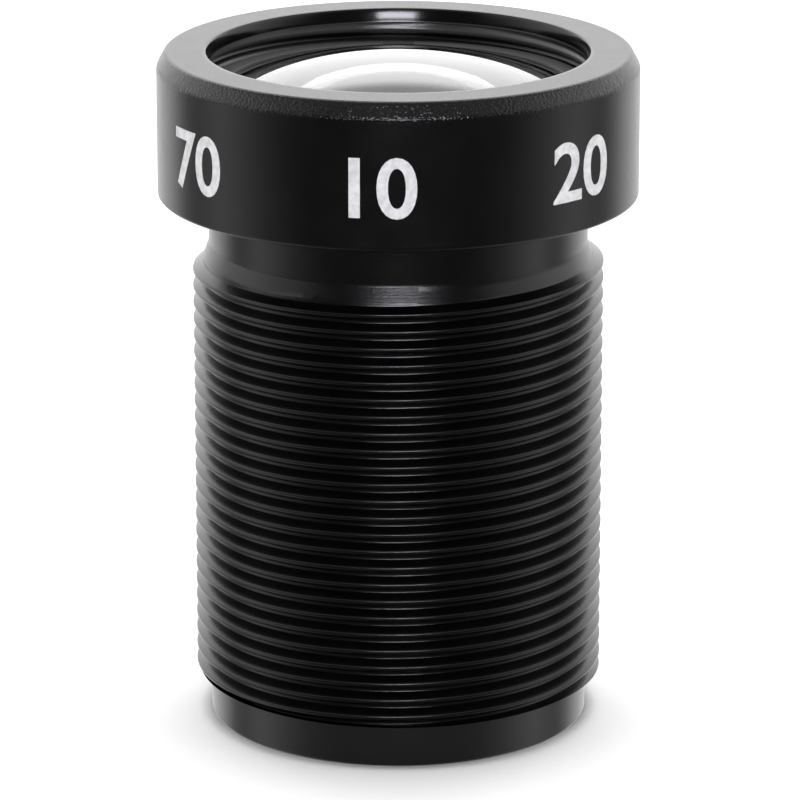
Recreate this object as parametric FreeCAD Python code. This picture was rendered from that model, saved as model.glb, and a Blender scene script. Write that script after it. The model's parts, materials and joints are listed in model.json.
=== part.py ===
import FreeCAD, Part
import math
import os

# Fixed-focus board lens for a small camera, in millimetres.
# The optical axis is +Z. The rear end stands on Z = 0 and the front glass looks up.
# Six glasses in four groups lie in one turned barrel: three are loaded from the front
# and three from the rear, on both sides of a web that also carries the aperture stop.
# The screw threads are drawn plain: outside at the crests, inside at the minor diameter.

# Barrel, outside
thread_diameter = 12.0
neck_relief = 0.47
neck_height = 1.38
shoulder_relief = 0.30
shoulder_height = 0.46
thread_chamfer_height = 0.14
spigot_relief = 0.43
spigot_height = 1.32
spigot_edge_break = 0.06
head_height = 4.25
head_wall = 1.52
head_bevel_width = 0.25
head_bevel_height = 0.45
head_edge_break = 0.08
mouth_edge_break = 0.06
mouth_flare = 0.09
mouth_flare_height = 0.34

# Barrel, inside
neck_wall = 0.75
front_seat_width = 0.34
front_ring_thread_step = 0.36
spigot_wall = 0.93
rear_ring_thread_step = 0.06
web_lip_width = 0.96

# Fits
glass_clearance = 0.02
ring_clearance = 0.02
edge_contact_gap = 0.01
clamping_gap = 0.10

# How far each polished surface bulges or is hollowed between its middle and its edge
first_front_bulge = 0.90
first_rear_hollow = 1.70
second_front_bulge = 1.57
third_rear_hollow = 1.81
fourth_front_hollow = 1.00
fifth_rear_bulge = 1.26
sixth_front_bulge = 0.26
sixth_rear_bulge = 0.42

# Glass thicknesses: at the edge for the front glass and the positive ones, else on the axis
first_edge_thickness = 1.95
second_edge_thickness = 1.03
third_centre_thickness = 0.90
fourth_centre_thickness = 0.90
fifth_edge_thickness = 1.14
sixth_edge_thickness = 1.02
glass_bevel = 0.06

# Flat rims ground round the hollow surfaces
first_rear_rim = 0.60
third_rear_rim = 0.96
fourth_front_rim = 1.06

# Spaces on the axis, from the front face to the rear glass
front_glass_recess = 0.22
first_air_space = 1.50
space_before_stop = 3.0
space_behind_stop = 2.4
last_air_space = 0.15

# Rings, spacers and stop
front_ring_lap = 0.15
front_ring_lip = 0.09
front_ring_height = 1.00
rear_ring_wall = 0.72
rear_ring_height = 1.00
rear_recess = 2.38
spanner_slot_width = 0.90
front_slot_depth = 0.35
rear_slot_depth = 0.40
front_spacer_flange = 0.60
front_spacer_wall = 0.31
stop_spacer_wall = 0.86
rear_spacer_wall = 0.46
stop_thickness = 0.10
stop_overhang = 0.72

FLAT = None
AXIS = FreeCAD.Vector(0, 0, 1)
ORIGIN = FreeCAD.Vector(0, 0, 0)


def curvature(reach, fall):
    """The radius of a ball surface that falls back by a depth at a distance from the axis."""
    return (reach * reach + fall * fall) / (2 * fall)


def sag(curve, radius):
    """How far a surface lies behind its vertex at a distance from the axis."""
    if curve is FLAT:
        return 0.0
    return curve - math.copysign(math.sqrt(curve * curve - radius * radius), curve)


def slope(curve, radius):
    """How fast a surface falls back as the distance from the axis grows."""
    return radius / math.copysign(math.sqrt(curve * curve - radius * radius), curve)


# Radii, from the thread inwards and outwards
thread_radius = thread_diameter / 2
neck_radius = thread_radius - neck_relief
shoulder_radius = thread_radius - shoulder_relief
spigot_radius = thread_radius - spigot_relief
front_bore_radius = neck_radius - neck_wall
front_glass_radius = front_bore_radius - glass_clearance
pocket_radius = front_bore_radius + front_seat_width
first_glass_radius = pocket_radius - glass_clearance
mouth_radius = pocket_radius + front_ring_thread_step
head_radius = mouth_radius + head_wall
rear_thread_radius = spigot_radius - spigot_wall
rear_bore_radius = rear_thread_radius - rear_ring_thread_step
rear_glass_radius = rear_bore_radius - glass_clearance
web_radius = rear_bore_radius - web_lip_width
stop_aperture_radius = web_radius - stop_overhang

first_rear_clear = first_glass_radius - first_rear_rim
third_rear_clear = front_glass_radius - third_rear_rim
fourth_front_clear = rear_glass_radius - fourth_front_rim
front_spacer_bore = front_glass_radius - front_spacer_wall
stop_spacer_bore = front_glass_radius - stop_spacer_wall
rear_spacer_bore = rear_glass_radius - rear_spacer_wall
front_ring_bore = first_glass_radius - front_ring_lap
front_ring_radius = mouth_radius - ring_clearance
rear_ring_radius = rear_thread_radius - ring_clearance
rear_ring_bore = rear_ring_radius - rear_ring_wall

# Radii of curvature, positive where the centre lies behind the surface
first_front_curve = curvature(first_glass_radius, first_front_bulge)
first_rear_curve = curvature(first_rear_clear, first_rear_hollow)
second_front_curve = curvature(front_glass_radius, second_front_bulge)
third_rear_curve = curvature(third_rear_clear, third_rear_hollow)
fourth_front_curve = curvature(fourth_front_clear, -fourth_front_hollow)
fifth_rear_curve = curvature(rear_glass_radius, -fifth_rear_bulge)
sixth_front_curve = curvature(rear_glass_radius, sixth_front_bulge)
sixth_rear_curve = curvature(rear_glass_radius, -sixth_rear_bulge)

# Centre thickness of each glass whose edge thickness is given
first_thickness = first_front_bulge + first_edge_thickness - first_rear_hollow
second_thickness = second_front_bulge + second_edge_thickness
fifth_thickness = fifth_edge_thickness + fifth_rear_bulge
sixth_thickness = sixth_front_bulge + sixth_edge_thickness + sixth_rear_bulge

# Depths of the surfaces' vertices below the front face
first_front_depth = front_glass_recess
first_rear_depth = first_front_depth + first_thickness
second_front_depth = first_rear_depth + first_air_space
front_cement_depth = second_front_depth + second_thickness
third_rear_depth = front_cement_depth + third_centre_thickness
stop_depth = third_rear_depth + space_before_stop
fourth_front_depth = stop_depth + space_behind_stop
rear_cement_depth = fourth_front_depth + fourth_centre_thickness
fifth_rear_depth = rear_cement_depth + fifth_thickness
sixth_front_depth = fifth_rear_depth + last_air_space
sixth_rear_depth = sixth_front_depth + sixth_thickness

# Depths of the seats, rings and spacers
first_seat_depth = first_rear_depth + first_rear_hollow
front_flange_depth = first_seat_depth + front_spacer_flange
pocket_depth = front_flange_depth + clamping_gap
front_spacer_end = (second_front_depth + sag(second_front_curve, front_spacer_bore)
                    - edge_contact_gap)
stop_spacer_depth = third_rear_depth + third_rear_hollow
web_front_depth = stop_depth + stop_thickness
web_rear_depth = fourth_front_depth - fourth_front_hollow
rear_spacer_depth = (fifth_rear_depth + sag(fifth_rear_curve, rear_spacer_bore)
                     + edge_contact_gap)
rear_spacer_end = (sixth_front_depth + sag(sixth_front_curve, rear_spacer_bore)
                   - edge_contact_gap)
front_ring_contact = (first_front_depth + sag(first_front_curve, front_ring_bore)
                      - edge_contact_gap)
front_ring_depth = front_ring_contact - front_ring_lip
front_ring_end = front_ring_depth + front_ring_height
ring_thread_end = front_ring_end + clamping_gap
rear_ring_depth = (sixth_rear_depth + sag(sixth_rear_curve, rear_ring_bore)
                   + edge_contact_gap)
rear_thread_depth = rear_ring_depth - clamping_gap
rear_ring_end = rear_ring_depth + rear_ring_height
overall_length = rear_ring_end + rear_recess


class Section:
    """A half section, drawn by distance from the axis and depth below the front face."""

    def __init__(self, radius, depth):
        self.start = self.point(radius, depth)
        self.here = self.start
        self.edges = []

    def point(self, radius, depth):
        return FreeCAD.Vector(radius, 0, overall_length - depth)

    def line(self, radius, depth):
        """A straight side to the next point."""
        self.join(self.point(radius, depth))

    def join(self, end):
        """A straight side to a point, unless the outline is there already."""
        if end.distanceToPoint(self.here) > Part.Precision.confusion():
            self.edges.append(Part.LineSegment(self.here, end).toShape())
            self.here = end

    def polish(self, curve, vertex, from_radius, to_radius):
        """A polished surface between two distances from the axis."""
        self.line(from_radius, vertex + sag(curve, from_radius))
        if curve is FLAT:
            self.line(to_radius, vertex)
            return
        middle = (from_radius + to_radius) / 2
        end = self.point(to_radius, vertex + sag(curve, to_radius))
        through = self.point(middle, vertex + sag(curve, middle))
        self.edges.append(Part.Arc(self.here, through, end).toShape())
        self.here = end

    def turned(self):
        """The closed section, turned once round the optical axis."""
        self.join(self.start)
        face = Part.Face(Part.Wire(self.edges))
        return face.revolve(ORIGIN, AXIS, 360)


def spanner_slots(ring, outside, shallow_depth, deep_depth):
    """Notches on both sides of a ring, for a pin spanner, cut by one bar laid across it."""
    reach = outside + spanner_slot_width
    corner = FreeCAD.Vector(-spanner_slot_width / 2, -reach, overall_length - deep_depth)
    bar = Part.makeBox(spanner_slot_width, 2 * reach, deep_depth - shallow_depth, corner)
    return ring.cut(bar).Solids[0]


def make_barrel():
    """The one-piece turned barrel: head, neck, threaded body, rear spigot and stepped bore."""
    neck_end = head_height + neck_height
    shoulder_end = neck_end + shoulder_height
    thread_start = shoulder_end + thread_chamfer_height
    thread_end = overall_length - spigot_height
    flared_radius = mouth_radius + mouth_flare
    section = Section(flared_radius + mouth_edge_break, 0)
    section.line(head_radius - head_bevel_width, 0)
    section.line(head_radius, head_bevel_height)
    section.line(head_radius, head_height - head_edge_break)
    section.line(head_radius - head_edge_break, head_height)
    section.line(neck_radius, head_height)
    section.line(neck_radius, neck_end)
    section.line(shoulder_radius, shoulder_end)
    section.line(thread_radius, thread_start)
    section.line(thread_radius, thread_end)
    section.line(spigot_radius, thread_end)
    section.line(spigot_radius, overall_length - spigot_edge_break)
    section.line(spigot_radius - spigot_edge_break, overall_length)
    section.line(rear_thread_radius, overall_length)
    section.line(rear_thread_radius, rear_thread_depth)
    section.line(rear_bore_radius, rear_thread_depth)
    section.line(rear_bore_radius, web_rear_depth)
    section.line(web_radius, web_rear_depth)
    section.line(web_radius, web_front_depth)
    section.line(front_bore_radius, web_front_depth)
    section.line(front_bore_radius, pocket_depth)
    section.line(pocket_radius, pocket_depth)
    section.line(pocket_radius, ring_thread_end)
    section.line(mouth_radius, ring_thread_end)
    section.line(mouth_radius, mouth_flare_height)
    section.line(flared_radius, mouth_edge_break)
    return section.turned()


def make_first_lens():
    """The front glass, bulging forwards, with a flat rim ground on its hollow rear face."""
    bevelled = first_glass_radius - glass_bevel
    front_edge = first_front_depth + sag(first_front_curve, bevelled)
    section = Section(0, first_front_depth)
    section.polish(first_front_curve, first_front_depth, 0, bevelled)
    section.line(first_glass_radius, front_edge + glass_bevel)
    section.line(first_glass_radius, first_seat_depth - glass_bevel)
    section.line(bevelled, first_seat_depth)
    section.line(first_rear_clear, first_seat_depth)
    section.polish(first_rear_curve, first_rear_depth, first_rear_clear, 0)
    return section.turned()


def make_second_lens():
    """The strong positive glass, flat behind, where the third is cemented to it."""
    bevelled = front_glass_radius - glass_bevel
    front_edge = second_front_depth + sag(second_front_curve, bevelled)
    section = Section(0, second_front_depth)
    section.polish(second_front_curve, second_front_depth, 0, bevelled)
    section.line(front_glass_radius, front_edge + glass_bevel)
    section.line(front_glass_radius, front_cement_depth)
    section.polish(FLAT, front_cement_depth, front_glass_radius, 0)
    return section.turned()


def make_third_lens():
    """The negative glass before the stop, hollow behind inside a flat rim."""
    section = Section(0, front_cement_depth)
    section.polish(FLAT, front_cement_depth, 0, front_glass_radius)
    section.line(front_glass_radius, stop_spacer_depth - glass_bevel)
    section.line(front_glass_radius - glass_bevel, stop_spacer_depth)
    section.line(third_rear_clear, stop_spacer_depth)
    section.polish(third_rear_curve, third_rear_depth, third_rear_clear, 0)
    return section.turned()


def make_fourth_lens():
    """The negative glass behind the stop, hollow in front inside a flat rim."""
    section = Section(0, fourth_front_depth)
    section.polish(fourth_front_curve, fourth_front_depth, 0, fourth_front_clear)
    section.line(rear_glass_radius - glass_bevel, web_rear_depth)
    section.line(rear_glass_radius, web_rear_depth + glass_bevel)
    section.line(rear_glass_radius, rear_cement_depth)
    section.polish(FLAT, rear_cement_depth, rear_glass_radius, 0)
    return section.turned()


def make_fifth_lens():
    """The positive glass cemented behind the fourth, bulging to the rear."""
    bevelled = rear_glass_radius - glass_bevel
    rear_edge = fifth_rear_depth + sag(fifth_rear_curve, bevelled)
    section = Section(0, rear_cement_depth)
    section.polish(FLAT, rear_cement_depth, 0, rear_glass_radius)
    section.line(rear_glass_radius, rear_edge - glass_bevel)
    section.polish(fifth_rear_curve, fifth_rear_depth, bevelled, 0)
    return section.turned()


def make_sixth_lens():
    """The rear glass, bulging on both faces."""
    bevelled = rear_glass_radius - glass_bevel
    front_edge = sixth_front_depth + sag(sixth_front_curve, bevelled)
    rear_edge = sixth_rear_depth + sag(sixth_rear_curve, bevelled)
    section = Section(0, sixth_front_depth)
    section.polish(sixth_front_curve, sixth_front_depth, 0, bevelled)
    section.line(rear_glass_radius, front_edge + glass_bevel)
    section.line(rear_glass_radius, rear_edge - glass_bevel)
    section.polish(sixth_rear_curve, sixth_rear_depth, bevelled, 0)
    return section.turned()


def make_front_retaining_ring():
    """The threaded ring in the mouth: its thin lip laps the front glass and follows its slope."""
    skirt_bore = pocket_radius + glass_clearance
    lip_fall = slope(first_front_curve, front_ring_bore) * (skirt_bore - front_ring_bore)
    section = Section(front_ring_bore, front_ring_depth)
    section.line(front_ring_radius, front_ring_depth)
    section.line(front_ring_radius, front_ring_end)
    section.line(skirt_bore, front_ring_end)
    section.line(skirt_bore, front_ring_contact + lip_fall)
    section.line(front_ring_bore, front_ring_contact)
    return spanner_slots(section.turned(), front_ring_radius,
                         front_ring_depth, front_ring_depth + front_slot_depth)


def make_front_spacer():
    """The stepped ring between the first and second glasses."""
    section = Section(front_spacer_bore, first_seat_depth)
    section.line(first_glass_radius, first_seat_depth)
    section.line(first_glass_radius, front_flange_depth)
    section.line(front_glass_radius, front_flange_depth)
    section.line(front_glass_radius, front_spacer_end)
    section.line(front_spacer_bore, front_spacer_end)
    return section.turned()


def make_stop_spacer():
    """The plain ring that holds the stop off the third glass."""
    section = Section(stop_spacer_bore, stop_spacer_depth)
    section.line(front_glass_radius, stop_spacer_depth)
    section.line(front_glass_radius, stop_depth)
    section.line(stop_spacer_bore, stop_depth)
    return section.turned()


def make_aperture_stop():
    """The thin disc whose hole sets the lens's speed."""
    section = Section(stop_aperture_radius, stop_depth)
    section.line(front_glass_radius, stop_depth)
    section.line(front_glass_radius, web_front_depth)
    section.line(stop_aperture_radius, web_front_depth)
    return section.turned()


def make_rear_spacer():
    """The ring between the cemented rear pair and the rear glass."""
    section = Section(rear_spacer_bore, rear_spacer_depth)
    section.line(rear_glass_radius, rear_spacer_depth)
    section.line(rear_glass_radius, rear_spacer_end)
    section.line(rear_spacer_bore, rear_spacer_end)
    return section.turned()


def make_rear_retaining_ring():
    """The threaded ring that clamps the three rear glasses against the web."""
    section = Section(rear_ring_bore, rear_ring_depth)
    section.line(rear_ring_radius, rear_ring_depth)
    section.line(rear_ring_radius, rear_ring_end)
    section.line(rear_ring_bore, rear_ring_end)
    return spanner_slots(section.turned(), rear_ring_radius,
                         rear_ring_end - rear_slot_depth, rear_ring_end)


PIECES = {
    "barrel": make_barrel,
    "front_retaining_ring": make_front_retaining_ring,
    "first_lens": make_first_lens,
    "front_spacer": make_front_spacer,
    "second_lens": make_second_lens,
    "third_lens": make_third_lens,
    "stop_spacer": make_stop_spacer,
    "aperture_stop": make_aperture_stop,
    "fourth_lens": make_fourth_lens,
    "fifth_lens": make_fifth_lens,
    "rear_spacer": make_rear_spacer,
    "sixth_lens": make_sixth_lens,
    "rear_retaining_ring": make_rear_retaining_ring,
}


def main():
    os.makedirs("parts", exist_ok=True)
    for name, make in PIECES.items():
        make().exportStep("parts/" + name + ".step")


main()
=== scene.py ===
import json
import math

import bmesh
import bpy
from mathutils import Matrix, Vector


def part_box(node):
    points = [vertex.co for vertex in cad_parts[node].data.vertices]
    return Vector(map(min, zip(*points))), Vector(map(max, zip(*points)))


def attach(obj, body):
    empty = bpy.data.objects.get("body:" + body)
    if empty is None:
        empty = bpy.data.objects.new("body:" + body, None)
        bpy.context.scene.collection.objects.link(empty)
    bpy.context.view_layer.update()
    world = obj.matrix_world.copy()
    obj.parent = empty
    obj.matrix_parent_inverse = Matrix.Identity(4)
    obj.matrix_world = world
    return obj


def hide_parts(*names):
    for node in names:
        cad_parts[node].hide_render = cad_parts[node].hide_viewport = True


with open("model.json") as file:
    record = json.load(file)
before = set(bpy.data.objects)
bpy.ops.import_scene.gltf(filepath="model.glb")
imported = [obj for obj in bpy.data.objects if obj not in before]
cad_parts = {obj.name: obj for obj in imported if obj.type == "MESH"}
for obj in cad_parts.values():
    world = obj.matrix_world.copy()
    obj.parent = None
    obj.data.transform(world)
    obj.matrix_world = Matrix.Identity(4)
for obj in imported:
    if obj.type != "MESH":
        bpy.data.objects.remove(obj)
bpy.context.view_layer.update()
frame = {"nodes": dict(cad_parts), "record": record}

# Shapes are worked out in millimetres and brought to metres when a piece is finished.
MM = 0.001
BODY = "root"


def reach(node):
    """A turned node's outside radius and its lowest and highest point, in millimetres."""
    low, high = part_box(node)
    return high[0] / MM, low[2] / MM, high[2] / MM


# Fits between the pieces, the same as on the solids
glass_clearance = 0.02
ring_clearance = 0.02
clamping_gap = 0.10

# Sizes that the frame gives
head_radius, rear_end, front_end = reach("barrel")
front_ring_radius, front_ring_low, front_ring_high = reach("front_retaining_ring")
rear_ring_radius, rear_ring_low, rear_ring_high = reach("rear_retaining_ring")
first_glass_radius, first_glass_low, first_glass_high = reach("first_lens")
sixth_glass_radius, sixth_glass_low, sixth_glass_high = reach("sixth_lens")
front_glass_radius = reach("second_lens")[0]
rear_glass_radius, _, web_rear = reach("fourth_lens")
web_front = reach("aperture_stop")[1]
thread_radius = frame["record"]["mounts"][0]["dims"]["r_mm"]

# Barrel, outside
head_height = 4.25
head_bevel_width = 0.25
head_bevel_height = 0.45
head_edge_break = 0.08
neck_relief = 0.47
neck_height = 1.38
shoulder_height = 0.46
thread_chamfer_height = 0.14
spigot_relief = 0.43
spigot_height = 1.32
spigot_edge_break = 0.06
neck_radius = thread_radius - neck_relief
spigot_radius = thread_radius - spigot_relief
head_bottom = front_end - head_height
shoulder_top = head_bottom - neck_height
shoulder_bottom = shoulder_top - shoulder_height
first_crest_top = shoulder_bottom - thread_chamfer_height

# Barrel, inside
mouth_edge_break = 0.03
mouth_band = 0.40
mouth_flare = 0.076
front_spacer_flange = 0.60
front_bore_radius = front_glass_radius + glass_clearance
pocket_radius = first_glass_radius + glass_clearance
pocket_floor = first_glass_low - front_spacer_flange - clamping_gap
mouth_radius = front_ring_radius + ring_clearance
ring_thread_low = front_ring_low - clamping_gap
rear_bore_radius = rear_glass_radius + glass_clearance
rear_thread_radius = rear_ring_radius + ring_clearance
rear_thread_high = rear_ring_high + clamping_gap
web_radius = 3.62

# Screw threads
thread_pitch = 0.50
flank_angle = math.radians(30)
outside_thread_depth = 0.31
inside_thread_depth = 0.27
first_crest = 1.28
outside_thread_ease = 0.02
inside_thread_ease = 0.09
thread_run_in = 0.18

# Roundings of the corners that a turning tool leaves
neck_round = 0.06
edge_round = 0.035
bevel_round = 0.08
mouth_round = 0.02
front_ring_round = 0.02
rear_ring_round = 0.03

# Narrow strips beside the corners keep the wide faces between them flat to the eye.
corner_hold = 0.09

# Points nearer to each other than seam_reach are one point. The slacks are how far off a
# rim's height, a corner or a cutting plane a point may lie and still count as on it.
seam_reach = 0.001
level_slack = 0.001
corner_slack = 0.002
cut_slack = 1e-5

# Faces that meet at more than these angles, in degrees, have a sharp edge between them.
metal_crease = 35
slot_crease = 25
glass_crease = 12

# Retaining rings
front_ring_bore = 4.95
front_ring_lip = 0.09
front_ring_skirt = pocket_radius + glass_clearance
rear_ring_bore = 3.90
spanner_slot_width = 0.90
front_slot_depth = 0.35
rear_slot_depth = 0.40

# Front and rear glass
first_front_bulge = 0.90
first_rear_hollow = 1.70
first_rear_rim = 0.60
sixth_front_bulge = 0.26
sixth_rear_bulge = 0.42
glass_bevel = 0.06

# Numbers painted round the head
NUMBERS = ("10", "20", "30", "40", "50", "60", "70")
number_height = 1.76
number_middle = 17.60
number_proud = 0.006
number_sunk = 0.02
number_strip = 0.15
first_number_angle = -3.5

FINE_STEPS = 192
INNER_STEPS = 144


def curvature(span, fall):
    """The radius of a ball surface that falls back by a depth at a distance from the axis."""
    return (span * span + fall * fall) / (2 * fall)


def dome(curve, vertex, from_radius, to_radius, steps):
    """Points on a polished surface; the curve is positive where it bulges forwards."""
    points = []
    for step in range(steps + 1):
        radius = from_radius + (to_radius - from_radius) * step / steps
        fall = curve - math.copysign(math.sqrt(curve * curve - radius * radius), curve)
        points.append((radius, vertex - fall))
    return points


def chain(bm, points, closed=False):
    """A half section of (radius, height) points, joined by edges."""
    verts = [bm.verts.new((radius, 0, height)) for radius, height in points]
    ends = verts[1:] + verts[:1] if closed else verts[1:]
    return verts + [bm.edges.new(pair) for pair in zip(verts, ends)]


def turn(bm, points, steps, closed=False):
    """The surface that a half section sweeps in one full turn round the optical axis."""
    bmesh.ops.spin(bm, geom=chain(bm, points, closed), cent=(0, 0, 0), axis=(0, 0, 1),
                   angle=2 * math.pi, steps=steps, use_merge=True)
    bmesh.ops.remove_doubles(bm, verts=bm.verts, dist=seam_reach)


def thread_pitch_points(crest, root, middle, ease):
    """One pitch of a screw thread, from the lower edge of a crest up to the next crest."""
    inwards = math.copysign(1, root - crest)
    flank = abs(root - crest) * math.tan(flank_angle)
    flat = (thread_pitch - 2 * flank) / 4
    half = [
        (crest, flat - ease / 2),
        (crest + inwards * ease / 3, flat + ease / 3),
        (crest + inwards * 1.4 * ease, flat + 1.1 * ease),
        (root - inwards * ease / 2, flat + flank - ease / 3),
    ]
    rise = [(radius, middle + height) for radius, height in half]
    fall = [(radius, middle + thread_pitch - height) for radius, height in reversed(half)]
    return rise + [(root, middle + thread_pitch / 2)] + fall


def cut_thread(bm, crest, root, low, high, ease, steps):
    """A right-handed screw surface between two heights, open at both ends."""
    start = first_crest + thread_pitch * math.floor((low - first_crest) / thread_pitch - 2)
    turns = math.ceil((high - start) / thread_pitch) + 1
    points = []
    for turn_number in range(turns):
        points += thread_pitch_points(crest, root, start + thread_pitch * turn_number, ease)
    bmesh.ops.spin(bm, geom=chain(bm, points), cent=(0, 0, 0), axis=(0, 0, 1),
                   dvec=(0, 0, thread_pitch / steps), angle=2 * math.pi, steps=steps)
    bmesh.ops.remove_doubles(bm, verts=bm.verts, dist=seam_reach)
    for height, keep_above in ((low, True), (high, False)):
        bmesh.ops.bisect_plane(bm, geom=bm.verts[:] + bm.edges[:] + bm.faces[:], dist=cut_slack,
                               plane_co=(0, 0, height), plane_no=(0, 0, 1),
                               clear_inner=keep_above, clear_outer=not keep_above)


def kerf(bm, height):
    """A ring of edges right round a surface at one height."""
    bmesh.ops.bisect_plane(bm, geom=bm.verts[:] + bm.edges[:] + bm.faces[:], dist=cut_slack,
                           plane_co=(0, 0, height), plane_no=(0, 0, 1))


def set_radius(vert, radius):
    """Moves a point straight out from the axis, or in, to a radius."""
    vert.co.xy = vert.co.xy.normalized() * radius


def open_rim(bm, height):
    """The open edges of a surface that lie at one height."""
    return [edge for edge in bm.edges if edge.is_boundary
            and all(abs(vert.co.z - height) < level_slack for vert in edge.verts)]


def carry_on(bm, rim, outline):
    """Draws an open rim on through (radius, height) stations and gives the new rim."""
    start = rim[0].verts[0].co
    stations = []
    last = Vector((start.xy.length, start.z))
    for station in map(Vector, outline):
        step = station - last
        if step.length > 4 * corner_hold:
            hold = step.normalized() * corner_hold
            stations += [last + hold, station - hold]
        stations.append(station)
        last = station
    for radius, height in stations:
        made = bmesh.ops.extrude_edge_only(bm, edges=rim)["geom"]
        verts = {part for part in made if isinstance(part, bmesh.types.BMVert)}
        rim = [part for part in made if isinstance(part, bmesh.types.BMEdge)
               and verts.issuperset(part.verts)]
        for vert in verts:
            set_radius(vert, radius)
            vert.co.z = height
    return rim


def ease_corners(bm, corners, width):
    """Rounds the sharp rings of edges that lie at the given (radius, height) corners."""
    def place(vert):
        return Vector((vert.co.xy.length, vert.co.z))

    def lies_on(vert):
        return any((place(vert) - Vector(corner)).length < corner_slack for corner in corners)

    edges = [edge for edge in bm.edges if all(map(lies_on, edge.verts))
             and (place(edge.verts[0]) - place(edge.verts[1])).length < level_slack]
    bmesh.ops.bevel(bm, geom=edges, offset=width, affect="EDGES", segments=3, profile=0.5,
                    material=-1, clamp_overlap=True)


def paint_edge(piece, radius):
    """Gives the ground rim of a glass its second material."""
    for face in piece.data.polygons:
        corners = [piece.data.vertices[index].co.xy.length for index in face.vertices]
        face.material_index = int(min(corners) > (radius - 1.5 * glass_bevel) * MM)


def mark_creases(bm, crease):
    """Makes the edges sharp at which two faces meet at more than an angle in degrees."""
    for edge in bm.edges:
        edge.smooth = edge.calc_face_angle(0) < math.radians(crease)


def finish_piece(bm, name, node, crease=metal_crease):
    """Closes a shape's seams, brings it to metres and hands it over as a piece."""
    bmesh.ops.remove_doubles(bm, verts=bm.verts, dist=seam_reach)
    bmesh.ops.recalc_face_normals(bm, faces=bm.faces)
    for face in bm.faces:
        face.smooth = True
    mark_creases(bm, crease)
    bmesh.ops.transform(bm, matrix=Matrix.Scale(MM, 4), verts=bm.verts)
    mesh = bpy.data.meshes.new(name)
    bm.to_mesh(mesh)
    bm.free()
    piece = bpy.data.objects.new(name, mesh)
    bpy.context.scene.collection.objects.link(piece)
    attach(piece, BODY)
    if node:
        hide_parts(node)
    return piece


def outside_of_barrel():
    """The thread with the neck and head above it and the spigot below, open at both ends."""
    bm = bmesh.new()
    thread_low = rear_end + spigot_height
    cut_thread(bm, thread_radius, thread_radius - outside_thread_depth,
               thread_low, shoulder_top, outside_thread_ease, FINE_STEPS)
    kerf(bm, shoulder_bottom)
    kerf(bm, first_crest_top)
    foot_radius = thread_radius - outside_thread_depth
    for vert in bm.verts:
        if vert.co.z > shoulder_bottom:
            share = (vert.co.z - shoulder_bottom) / shoulder_height
            limit = foot_radius + (neck_radius - foot_radius) * share
        else:
            share = max(0.0, (vert.co.z - first_crest_top) / thread_chamfer_height)
            limit = thread_radius - outside_thread_depth * share
        set_radius(vert, min(vert.co.xy.length, limit))
    carry_on(bm, open_rim(bm, shoulder_top), [
        (neck_radius, head_bottom),
        (head_radius - head_edge_break, head_bottom),
        (head_radius, head_bottom + head_edge_break),
        (head_radius, front_end - head_bevel_height),
        (head_radius - head_bevel_width, front_end),
        (head_radius - 3 * head_bevel_width, front_end),
    ])
    carry_on(bm, open_rim(bm, thread_low), [
        (spigot_radius, thread_low),
        (spigot_radius, rear_end + spigot_edge_break),
        (spigot_radius - spigot_edge_break, rear_end),
        (spigot_radius - 4 * spigot_edge_break, rear_end),
    ])
    ease_corners(bm, [(neck_radius, head_bottom), (neck_radius, shoulder_top)], neck_round)
    ease_corners(bm, [
        (head_radius - head_edge_break, head_bottom),
        (head_radius, head_bottom + head_edge_break),
        (spigot_radius, rear_end + spigot_edge_break),
        (spigot_radius - spigot_edge_break, rear_end),
    ], edge_round)
    ease_corners(bm, [
        (head_radius, front_end - head_bevel_height),
        (head_radius - head_bevel_width, front_end),
    ], bevel_round)
    return bm


def front_bore_of_barrel():
    """The mouth with its thread, the glass seats and the web, open at both ends."""
    bm = bmesh.new()
    thread_high = front_end - mouth_band
    cut_thread(bm, mouth_radius, mouth_radius + inside_thread_depth,
               ring_thread_low, thread_high, inside_thread_ease, INNER_STEPS)
    for vert in bm.verts:
        depth = vert.co.xy.length - mouth_radius
        share = min(1.0, (thread_high - vert.co.z) / thread_run_in)
        set_radius(vert, mouth_radius + depth * share)
    carry_on(bm, open_rim(bm, thread_high), [
        (mouth_radius, front_end - mouth_band + mouth_edge_break),
        (mouth_radius + mouth_flare, front_end - mouth_edge_break),
        (mouth_radius + mouth_flare + mouth_edge_break, front_end),
        (mouth_radius + mouth_flare + 5 * mouth_edge_break, front_end),
    ])
    carry_on(bm, open_rim(bm, ring_thread_low), [
        (pocket_radius, ring_thread_low),
        (pocket_radius, pocket_floor),
        (front_bore_radius, pocket_floor),
        (front_bore_radius, web_front),
        (web_radius, web_front),
        (web_radius, web_rear),
        (rear_bore_radius, web_rear),
        (rear_bore_radius, rear_thread_high),
    ])
    ease_corners(bm, [(mouth_radius + mouth_flare + mouth_edge_break, front_end),
                      (mouth_radius + mouth_flare, front_end - mouth_edge_break)], mouth_round)
    return bm


def rear_bore_of_barrel():
    """The rear thread for the retaining ring, open at both ends."""
    bm = bmesh.new()
    thread_low = rear_end + thread_run_in
    cut_thread(bm, rear_thread_radius, rear_thread_radius + inside_thread_depth,
               thread_low, rear_thread_high, inside_thread_ease, INNER_STEPS)
    for vert in bm.verts:
        depth = vert.co.xy.length - rear_thread_radius
        share = min(1.0, (vert.co.z - thread_low) / thread_run_in)
        set_radius(vert, rear_thread_radius + depth * share)
    carry_on(bm, open_rim(bm, thread_low), [
        (rear_thread_radius, rear_end + mouth_edge_break),
        (rear_thread_radius + mouth_edge_break, rear_end),
        (rear_thread_radius + 5 * mouth_edge_break, rear_end),
    ])
    return bm


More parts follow.
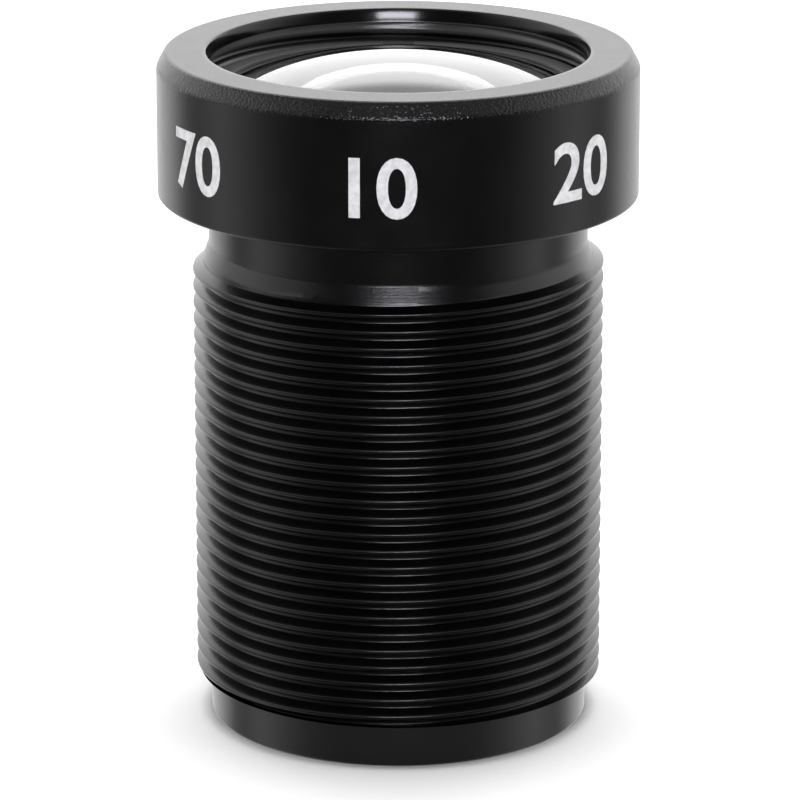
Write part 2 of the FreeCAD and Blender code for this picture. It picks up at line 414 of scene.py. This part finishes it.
def make_barrel():
    """The one-piece barrel, with its threads cut."""
    whole = bmesh.new()
    for part in (outside_of_barrel(), front_bore_of_barrel(), rear_bore_of_barrel()):
        mesh = bpy.data.meshes.new("barrel_part")
        part.to_mesh(mesh)
        part.free()
        whole.from_mesh(mesh)
        bpy.data.meshes.remove(mesh)
    for height in (front_end, rear_thread_high, rear_end):
        bmesh.ops.triangle_fill(whole, edges=open_rim(whole, height), normal=(0, 0, 1),
                                use_beauty=True, use_dissolve=False)
    return finish_piece(whole, "turned_barrel", "barrel")


def cut_slots(piece, outside, low, high):
    """Spanner slots on both sides of a ring, cut by one bar laid across it."""
    bm = bmesh.new()
    bmesh.ops.create_cube(bm, size=1)
    bmesh.ops.scale(bm, vec=(spanner_slot_width * MM, 2.4 * outside * MM, (high - low) * MM),
                    verts=bm.verts)
    bmesh.ops.translate(bm, vec=(0, 0, (low + high) / 2 * MM), verts=bm.verts)
    mesh = bpy.data.meshes.new("slot_bar")
    bm.to_mesh(mesh)
    bm.free()
    bar = bpy.data.objects.new("slot_bar", mesh)
    bpy.context.scene.collection.objects.link(bar)
    cut = piece.modifiers.new("slots", "BOOLEAN")
    cut.operation = "DIFFERENCE"
    cut.solver = "EXACT"
    cut.object = bar
    view = bpy.context.evaluated_depsgraph_get()
    slotted = bpy.data.meshes.new_from_object(piece.evaluated_get(view))
    piece.modifiers.clear()
    piece.data = slotted
    bpy.data.objects.remove(bar)
    bm = bmesh.new()
    bm.from_mesh(slotted)
    mark_creases(bm, slot_crease)
    bm.to_mesh(slotted)
    bm.free()


def make_front_ring():
    """The threaded ring in the mouth, with a thin lip over the front glass."""
    curve = curvature(first_glass_radius, first_front_bulge)
    fall = front_ring_bore / math.sqrt(curve * curve - front_ring_bore ** 2)
    lip_bottom = front_ring_high - front_ring_lip
    bm = bmesh.new()
    turn(bm, [
        (front_ring_bore, front_ring_high),
        (front_ring_radius, front_ring_high),
        (front_ring_radius, front_ring_low),
        (front_ring_skirt, front_ring_low),
        (front_ring_skirt, lip_bottom - fall * (front_ring_skirt - front_ring_bore)),
        (front_ring_bore, lip_bottom),
    ], FINE_STEPS, closed=True)
    ease_corners(bm, [(front_ring_bore, front_ring_high),
                      (front_ring_radius, front_ring_high)], front_ring_round)
    ring = finish_piece(bm, "front_ring", "front_retaining_ring")
    cut_slots(ring, front_ring_radius, front_ring_high - front_slot_depth, front_ring_high + 1)
    return ring


def make_rear_ring():
    """The threaded ring that clamps the rear glasses."""
    bm = bmesh.new()
    turn(bm, [
        (rear_ring_bore, rear_ring_high),
        (rear_ring_radius, rear_ring_high),
        (rear_ring_radius, rear_ring_low),
        (rear_ring_bore, rear_ring_low),
    ], FINE_STEPS, closed=True)
    ease_corners(bm, [(rear_ring_bore, rear_ring_low),
                      (rear_ring_radius, rear_ring_low)], rear_ring_round)
    ring = finish_piece(bm, "rear_ring", "rear_retaining_ring")
    cut_slots(ring, rear_ring_radius, rear_ring_low - 1, rear_ring_low + rear_slot_depth)
    return ring


def make_front_glass():
    """The front glass: a high polished dome, hollow behind inside a flat rim."""
    bevelled = first_glass_radius - glass_bevel
    front_curve = curvature(first_glass_radius, first_front_bulge)
    hollow_radius = first_glass_radius - first_rear_rim
    rear_curve = curvature(hollow_radius, first_rear_hollow)
    front = dome(front_curve, first_glass_high, 0, bevelled, 40)
    edge_high = front[-1][1] - glass_bevel
    rear = dome(rear_curve, first_glass_low + first_rear_hollow, hollow_radius, 0, 24)
    bm = bmesh.new()
    turn(bm, front + [(first_glass_radius, edge_high),
                      (first_glass_radius, first_glass_low + glass_bevel),
                      (bevelled, first_glass_low)] + rear, FINE_STEPS)
    return finish_piece(bm, "front_glass", "first_lens", crease=glass_crease)


def make_rear_glass():
    """The rear glass, bulging on both faces."""
    bevelled = sixth_glass_radius - glass_bevel
    front = dome(curvature(sixth_glass_radius, sixth_front_bulge), sixth_glass_high,
                 0, bevelled, 24)
    rear = dome(curvature(sixth_glass_radius, -sixth_rear_bulge), sixth_glass_low,
                bevelled, 0, 24)
    bm = bmesh.new()
    turn(bm, front + [(sixth_glass_radius, front[-1][1] - glass_bevel),
                      (sixth_glass_radius, rear[0][1] + glass_bevel)] + rear, INNER_STEPS)
    return finish_piece(bm, "rear_glass", "sixth_lens", crease=glass_crease)


def flat_number(text):
    """A number as a flat sheet of faces, in millimetres, centred on the origin."""
    words = bpy.data.curves.new("number", "FONT")
    words.body = text
    words.size = 1.0
    words.offset = 0.018
    words.resolution_u = 6
    words.align_x = "CENTER"
    thing = bpy.data.objects.new("number", words)
    bpy.context.scene.collection.objects.link(thing)
    view = bpy.context.evaluated_depsgraph_get()
    mesh = bpy.data.meshes.new_from_object(thing.evaluated_get(view))
    bpy.data.objects.remove(thing)
    bpy.data.curves.remove(words)
    bm = bmesh.new()
    bm.from_mesh(mesh)
    bpy.data.meshes.remove(mesh)
    bmesh.ops.remove_doubles(bm, verts=bm.verts, dist=seam_reach)
    low = Vector(min(vert.co[axis] for vert in bm.verts) for axis in range(3))
    high = Vector(max(vert.co[axis] for vert in bm.verts) for axis in range(3))
    bmesh.ops.translate(bm, vec=-(low + high) / 2, verts=bm.verts)
    grow = number_height / (high.y - low.y)
    bmesh.ops.scale(bm, vec=(grow, grow, 1), verts=bm.verts)
    return bm


def make_numbers():
    """White numbers in shallow strokes round the head."""
    whole = bmesh.new()
    for place, text in enumerate(NUMBERS):
        bm = flat_number(text)
        width = max(vert.co.x for vert in bm.verts)
        cuts = int(width / number_strip)
        for cut in range(-cuts, cuts + 1):
            bmesh.ops.bisect_plane(bm, geom=bm.verts[:] + bm.edges[:] + bm.faces[:],
                                   dist=cut_slack, plane_co=(number_strip * cut, 0, 0),
                                   plane_no=(1, 0, 0))
        raised = bmesh.ops.extrude_face_region(bm, geom=bm.faces[:])["geom"]
        top = {part for part in raised if isinstance(part, bmesh.types.BMVert)}
        middle = math.radians(first_number_angle + 360 * place / len(NUMBERS))
        for vert in bm.verts:
            radius = head_radius + (number_proud if vert in top else -number_sunk)
            angle = middle + vert.co.x / head_radius
            vert.co = (radius * math.sin(angle), -radius * math.cos(angle),
                       number_middle + vert.co.y)
        mesh = bpy.data.meshes.new("number")
        bm.to_mesh(mesh)
        bm.free()
        whole.from_mesh(mesh)
        bpy.data.meshes.remove(mesh)
    return finish_piece(whole, "head_numbers", None)


class Socket:
    """One output of a shader node, worked with in ordinary expressions."""

    def __init__(self, tree, socket):
        self.tree = tree
        self.socket = socket

    def maths(self, operation, *others):
        return self.tree.node("ShaderNodeMath", {"operation": operation},
                              dict(enumerate((self, *others))))

    def __add__(self, other):
        return self.maths("ADD", other)

    def __radd__(self, other):
        return self.maths("ADD", other)

    def __sub__(self, other):
        return self.maths("SUBTRACT", other)

    def __rsub__(self, other):
        return self.tree.node("ShaderNodeMath", {"operation": "SUBTRACT"}, {0: other, 1: self})

    def __mul__(self, other):
        return self.maths("MULTIPLY", other)

    def __rmul__(self, other):
        return self.maths("MULTIPLY", other)

    def __pow__(self, other):
        return self.maths("POWER", other)

    def rise(self, low, high):
        """From 0 to 1 as the value goes from low to high, smoothly."""
        return self.tree.node("ShaderNodeMapRange", {"interpolation_type": "SMOOTHSTEP"},
                              {0: self, 1: low, 2: high, 3: 0.0, 4: 1.0})


class Tree:
    """Adds nodes to a material's or the world's node tree."""

    def __init__(self, owner):
        owner.use_nodes = True
        self.nodes = owner.node_tree.nodes
        self.links = owner.node_tree.links
        self.nodes.clear()

    def node(self, kind, settings=None, inputs=None, output=0):
        """Adds a node, sets it, feeds its sockets and gives one of its outputs."""
        made = self.nodes.new(kind)
        for name, value in (settings or {}).items():
            setattr(made, name, value)
        for name, value in (inputs or {}).items():
            if isinstance(value, Socket):
                self.links.new(value.socket, made.inputs[name])
            else:
                made.inputs[name].default_value = value
        return Socket(self, made.outputs[output]) if len(made.outputs) else None

    def place(self):
        """The point on the piece, in millimetres."""
        point = self.node("ShaderNodeTexCoord", output="Object")
        return self.node("ShaderNodeVectorMath", {"operation": "SCALE"},
                         {0: point, "Scale": 1 / MM})

    def parts(self, vector):
        """A vector's X, Y and Z as three values."""
        made = self.nodes.new("ShaderNodeSeparateXYZ")
        self.links.new(vector.socket, made.inputs[0])
        return [Socket(self, output) for output in made.outputs]

    def joined(self, x, y, z):
        return self.node("ShaderNodeCombineXYZ", None, {0: x, 1: y, 2: z})

    def noise(self, vector, scale, detail=2.0, roughness=0.5):
        return self.node("ShaderNodeTexNoise", {"normalize": True},
                         {"Vector": vector, "Scale": scale, "Detail": detail,
                          "Roughness": roughness})

    def blend(self, share, first, second):
        """A colour between two colours."""
        return self.node("ShaderNodeMix", {"data_type": "RGBA"},
                         {0: share, 6: first, 7: second}, output=2)

    def bump(self, height, strength, distance_mm):
        return self.node("ShaderNodeBump", None,
                         {"Strength": strength, "Distance": distance_mm * MM,
                          "Height": height})

    def surface(self, **inputs):
        """The finished surface of a material."""
        sockets = {name.replace("_", " "): value for name, value in inputs.items()}
        shader = self.node("ShaderNodeBsdfPrincipled", None, sockets)
        self.node("ShaderNodeOutputMaterial", None, {"Surface": shader})


def spigot_zone(z):
    """1 on the rear spigot, which is a little paler, and 0 above it."""
    return 1.0 - z.rise(spigot_height - 0.07, spigot_height + 0.03)


def bevel_zone(from_axis, z):
    """1 on the bevel round the front face, which is coarser, and 0 elsewhere."""
    bevel_low = front_end - head_bevel_height
    bevel_inside = head_radius - head_bevel_width
    return z.rise(bevel_low - 0.08, bevel_low) * from_axis.rise(bevel_inside - 0.05, bevel_inside)


def bore_zones(from_axis, z):
    """Masks for the painted reflected light in the bore of the head and the painted highlight on
    its thread crests, and the smooth band at its mouth.
    """
    in_head = z.rise(head_bottom, head_bottom + 0.1)
    # Painted light: this mask paints the bore paler as reflected light, and the next one paints
    # its thread crests paler as a highlight.
    bore_painted_light = in_head * (1.0 - from_axis.rise(mouth_radius + 0.15, mouth_radius + 0.2))
    painted_crest_highlight = in_head * (1.0 - from_axis.rise(mouth_radius + 0.02, mouth_radius + 0.12))
    band_low = front_end - mouth_band
    mouth = bore_painted_light * z.rise(band_low, band_low + 0.05)
    return bore_painted_light * (1.0 - mouth), painted_crest_highlight * (1.0 - mouth), mouth


def black_anodised(name, roughness, grain_depth, turning_depth):
    """Black anodised aluminium: fine turning marks under an etched grain, a little worn. The bore
    in the head is painted paler as painted reflected light, and its thread crests paler still as
    a painted highlight.
    """
    material = bpy.data.materials.new(name)
    tree = Tree(material)
    place = tree.place()
    x, y, z = tree.parts(place)
    from_axis = (x * x + y * y) ** 0.5
    spigot = spigot_zone(z)
    bevel = bevel_zone(from_axis, z)
    bore_painted_light, painted_crest_highlight, mouth = bore_zones(from_axis, z)
    turning = tree.noise(tree.joined(from_axis, 0.0, z), 18.0, 3.0, 0.7)
    grain = tree.noise(place, 24.0, 3.0, 0.65)
    cloud = tree.noise(place, 0.9, 3.0, 0.55)
    pits = tree.noise(place, 14.0, 1.0, 0.5)
    tint = tree.blend(cloud.rise(0.35, 0.7), (0.0014, 0.0014, 0.0017, 1),
                      (0.0024, 0.0022, 0.0023, 1))
    tint = tree.blend(spigot, tint, (0.011, 0.0105, 0.0105, 1))
    # Painted light: the bore is painted paler as painted reflected light, and its thread crests
    # paler still as a painted highlight.
    tint = tree.blend(bore_painted_light, tint, (0.02, 0.0195, 0.0195, 1))
    tint = tree.blend(painted_crest_highlight, tint, (0.05, 0.049, 0.049, 1))
    unevenness = (grain - 0.5) * 0.16 + (cloud - 0.5) * 0.08
    height = (grain * grain_depth + turning * turning_depth) * (1.0 - mouth * 0.8)
    tree.surface(Base_Color=tint, Roughness=roughness + unevenness - mouth * 0.07, IOR=1.5,
                 Normal=tree.bump(height + pits * bevel * 3.2, 1.0, 0.008))
    return material


def dull_black(name, roughness):
    """Blackened metal inside the lens, without gloss."""
    material = bpy.data.materials.new(name)
    tree = Tree(material)
    place = tree.place()
    x, y, z = tree.parts(place)
    rings = tree.noise(tree.joined((x * x + y * y) ** 0.5, 0.0, z), 8.0, 2.0)
    speckle = tree.noise(place, 20.0, 2.0)
    tint = tree.blend(speckle.rise(0.4, 0.7), (0.006, 0.006, 0.006, 1), (0.012, 0.012, 0.012, 1))
    tree.surface(Base_Color=tint, Roughness=roughness + (speckle - 0.5) * 0.2, IOR=1.45,
                 Normal=tree.bump(rings * 0.6 + speckle * 0.4, 0.6, 0.01))
    return material


def coated_glass(name, refraction, coating):
    """Polished, coated glass with the faintest haze."""
    material = bpy.data.materials.new(name)
    tree = Tree(material)
    haze = tree.noise(tree.place(), 1.3, 3.0)
    tint = tree.blend(haze.rise(0.3, 0.8), (0.985, 0.99, 0.985, 1), (0.96, 0.97, 0.975, 1))
    tree.surface(Base_Color=tint, Roughness=haze.rise(0.5, 0.9) * 0.02, IOR=refraction,
                 Transmission_Weight=1.0, Coat_Weight=coating, Coat_Roughness=0.02,
                 Coat_IOR=2.0)
    return material


def ground_rim():
    """The finely ground, unpolished rim of a glass, which looks white where light reaches it."""
    material = bpy.data.materials.new("ground_glass_rim")
    tree = Tree(material)
    grain = tree.noise(tree.place(), 9.0, 3.0)
    tint = tree.blend(grain.rise(0.3, 0.7), (0.80, 0.80, 0.82, 1), (0.90, 0.90, 0.91, 1))
    tree.surface(Base_Color=tint, Roughness=0.75 + grain * 0.1, IOR=1.3)
    return material


def white_paint():
    """Matt white paint, thin enough to look a little uneven."""
    material = bpy.data.materials.new("white_paint")
    tree = Tree(material)
    place = tree.place()
    patch = tree.noise(place, 5.0, 4.0, 0.6)
    tint = tree.blend(patch.rise(0.3, 0.7), (0.46, 0.46, 0.47, 1), (0.62, 0.62, 0.62, 1))
    tree.surface(Base_Color=tint, Roughness=0.55 + patch * 0.2, IOR=1.45,
                 Normal=tree.bump(patch, 0.5, 0.01))
    return material


def wear(piece, *materials):
    piece.data.materials.clear()
    for material in materials:
        piece.data.materials.append(material)


def refinish(node, material):
    """Gives a solid of the frame another material and leaves its shape alone."""
    for slot in frame["nodes"][node].material_slots:
        slot.material = material


def make_floor():
    """A plain pale floor, lit but not mirrored in the lens."""
    bm = bmesh.new()
    bmesh.ops.create_grid(bm, x_segments=1, y_segments=1, size=3.0)
    mesh = bpy.data.meshes.new("floor")
    bm.to_mesh(mesh)
    bm.free()
    floor = bpy.data.objects.new("floor", mesh)
    bpy.context.scene.collection.objects.link(floor)
    floor.visible_glossy = False
    material = bpy.data.materials.new("pale_floor")
    tree = Tree(material)
    tree.surface(Base_Color=(0.82, 0.82, 0.82, 1), Roughness=0.9, IOR=1.3)
    wear(floor, material)


def light_world():
    """Soft light all round: a bright backdrop behind, darker overhead and in front."""
    world = bpy.data.worlds.new("studio")
    bpy.context.scene.world = world
    tree = Tree(world)
    way = tree.node("ShaderNodeTexCoord", output="Generated")
    x, y, z = tree.parts(way)
    gap = y.rise(0.0, 0.35) * (1.0 - y.rise(0.45, 0.72)) * (1.0 - z.rise(-0.1, 0.15))
    around = 0.07 + 1.15 * y.rise(-0.75, 0.4) - 0.85 * gap
    around = around * (0.2 + 0.8 * z.rise(-0.97, -0.8))
    backdrop = 1.0 + 0.38 * z.rise(-0.2, 0.1) * y.rise(0.5, 0.85)
    low_sky = around * backdrop
    high_sky = 0.35 + 0.25 * y.rise(0.0, 0.5)
    sky = low_sky + (high_sky - low_sky) * z.rise(0.5, 0.58)
    windows = z.rise(0.1, 0.45) * (1.0 - z.rise(0.62, 0.75)) * y.rise(-0.62, -0.42)
    windows = windows * (1.0 - y.rise(0.1, 0.5))
    level = sky + (0.35 - sky) * z.rise(0.82, 0.95) + 0.55 * windows
    shader = tree.node("ShaderNodeBackground", None, {"Color": (1, 1, 1, 1), "Strength": level})
    tree.node("ShaderNodeOutputWorld", None, {"Surface": shader})


def light_lamp(name, azimuth, elevation, distance, width, height, radiance,
               colour=(1, 1, 1), mirrored=True):
    """A square lamp facing the lens, placed by its direction as the lens sees it."""
    lamp = bpy.data.lights.new(name, "AREA")
    lamp.shape = "RECTANGLE"
    lamp.size = width
    lamp.size_y = height
    lamp.energy = radiance * math.pi * width * height
    lamp.color = colour
    thing = bpy.data.objects.new(name, lamp)
    bpy.context.scene.collection.objects.link(thing)
    turn_angle, rise_angle = math.radians(azimuth), math.radians(elevation)
    way = Vector((math.sin(turn_angle) * math.cos(rise_angle),
                  -math.cos(turn_angle) * math.cos(rise_angle), math.sin(rise_angle)))
    centre = Vector((0, 0, (front_end + rear_end) / 2 * MM))
    thing.location = centre + way * distance
    thing.rotation_euler = way.to_track_quat("Z", "Y").to_euler()
    thing.visible_glossy = mirrored
    thing.visible_transmission = mirrored


def place_camera():
    """The camera where the photograph was taken from."""
    elevation = math.radians(16.49)
    distance = 0.15073
    aim = Vector((0.00005, 0, 0.00943))
    focal_length = 230.2
    camera = bpy.data.cameras.new("photo_camera")
    camera.sensor_width = 36
    camera.lens = focal_length
    camera.clip_start = 0.01
    camera.clip_end = 20
    thing = bpy.data.objects.new("photo_camera", camera)
    bpy.context.scene.collection.objects.link(thing)
    away = Vector((0, -math.cos(elevation), math.sin(elevation)))
    thing.location = aim + away * distance
    thing.rotation_euler = away.to_track_quat("Z", "Y").to_euler()
    bpy.context.scene.camera = thing


barrel = make_barrel()
front_ring = make_front_ring()
rear_ring = make_rear_ring()
front_glass = make_front_glass()
rear_glass = make_rear_glass()
numbers = make_numbers()

barrel_finish = black_anodised("barrel_anodising", 0.20, 0.5, 0.35)
ring_finish = black_anodised("ring_anodising", 0.34, 0.4, 0.5)
wear(barrel, barrel_finish)
wear(front_ring, ring_finish)
wear(rear_ring, ring_finish)
glass_finish = coated_glass("front_glass_coating", 1.62, 1.0)
rim_finish = ground_rim()
wear(front_glass, glass_finish, rim_finish)
wear(rear_glass, glass_finish, rim_finish)
paint_edge(front_glass, first_glass_radius)
paint_edge(rear_glass, sixth_glass_radius)
wear(numbers, white_paint())
inner_glass = coated_glass("inner_glass_coating", 1.65, 0.0)
for lens_node in ("second_lens", "third_lens", "fourth_lens", "fifth_lens"):
    refinish(lens_node, inner_glass)
spacer_finish = dull_black("spacer_blacking", 0.5)
for spacer_node in ("front_spacer", "stop_spacer", "rear_spacer"):
    refinish(spacer_node, spacer_finish)
refinish("aperture_stop", dull_black("stop_blacking", 0.65))

make_floor()
light_world()
light_lamp("front_lamp", 1, 12, 0.5, 0.20, 0.10, 18.0, (0.93, 0.91, 1.0))
light_lamp("floor_lamp", 180, 84, 0.7, 0.50, 0.50, 9.5, mirrored=False)
place_camera()
bpy.context.scene.view_settings.view_transform = "Standard"
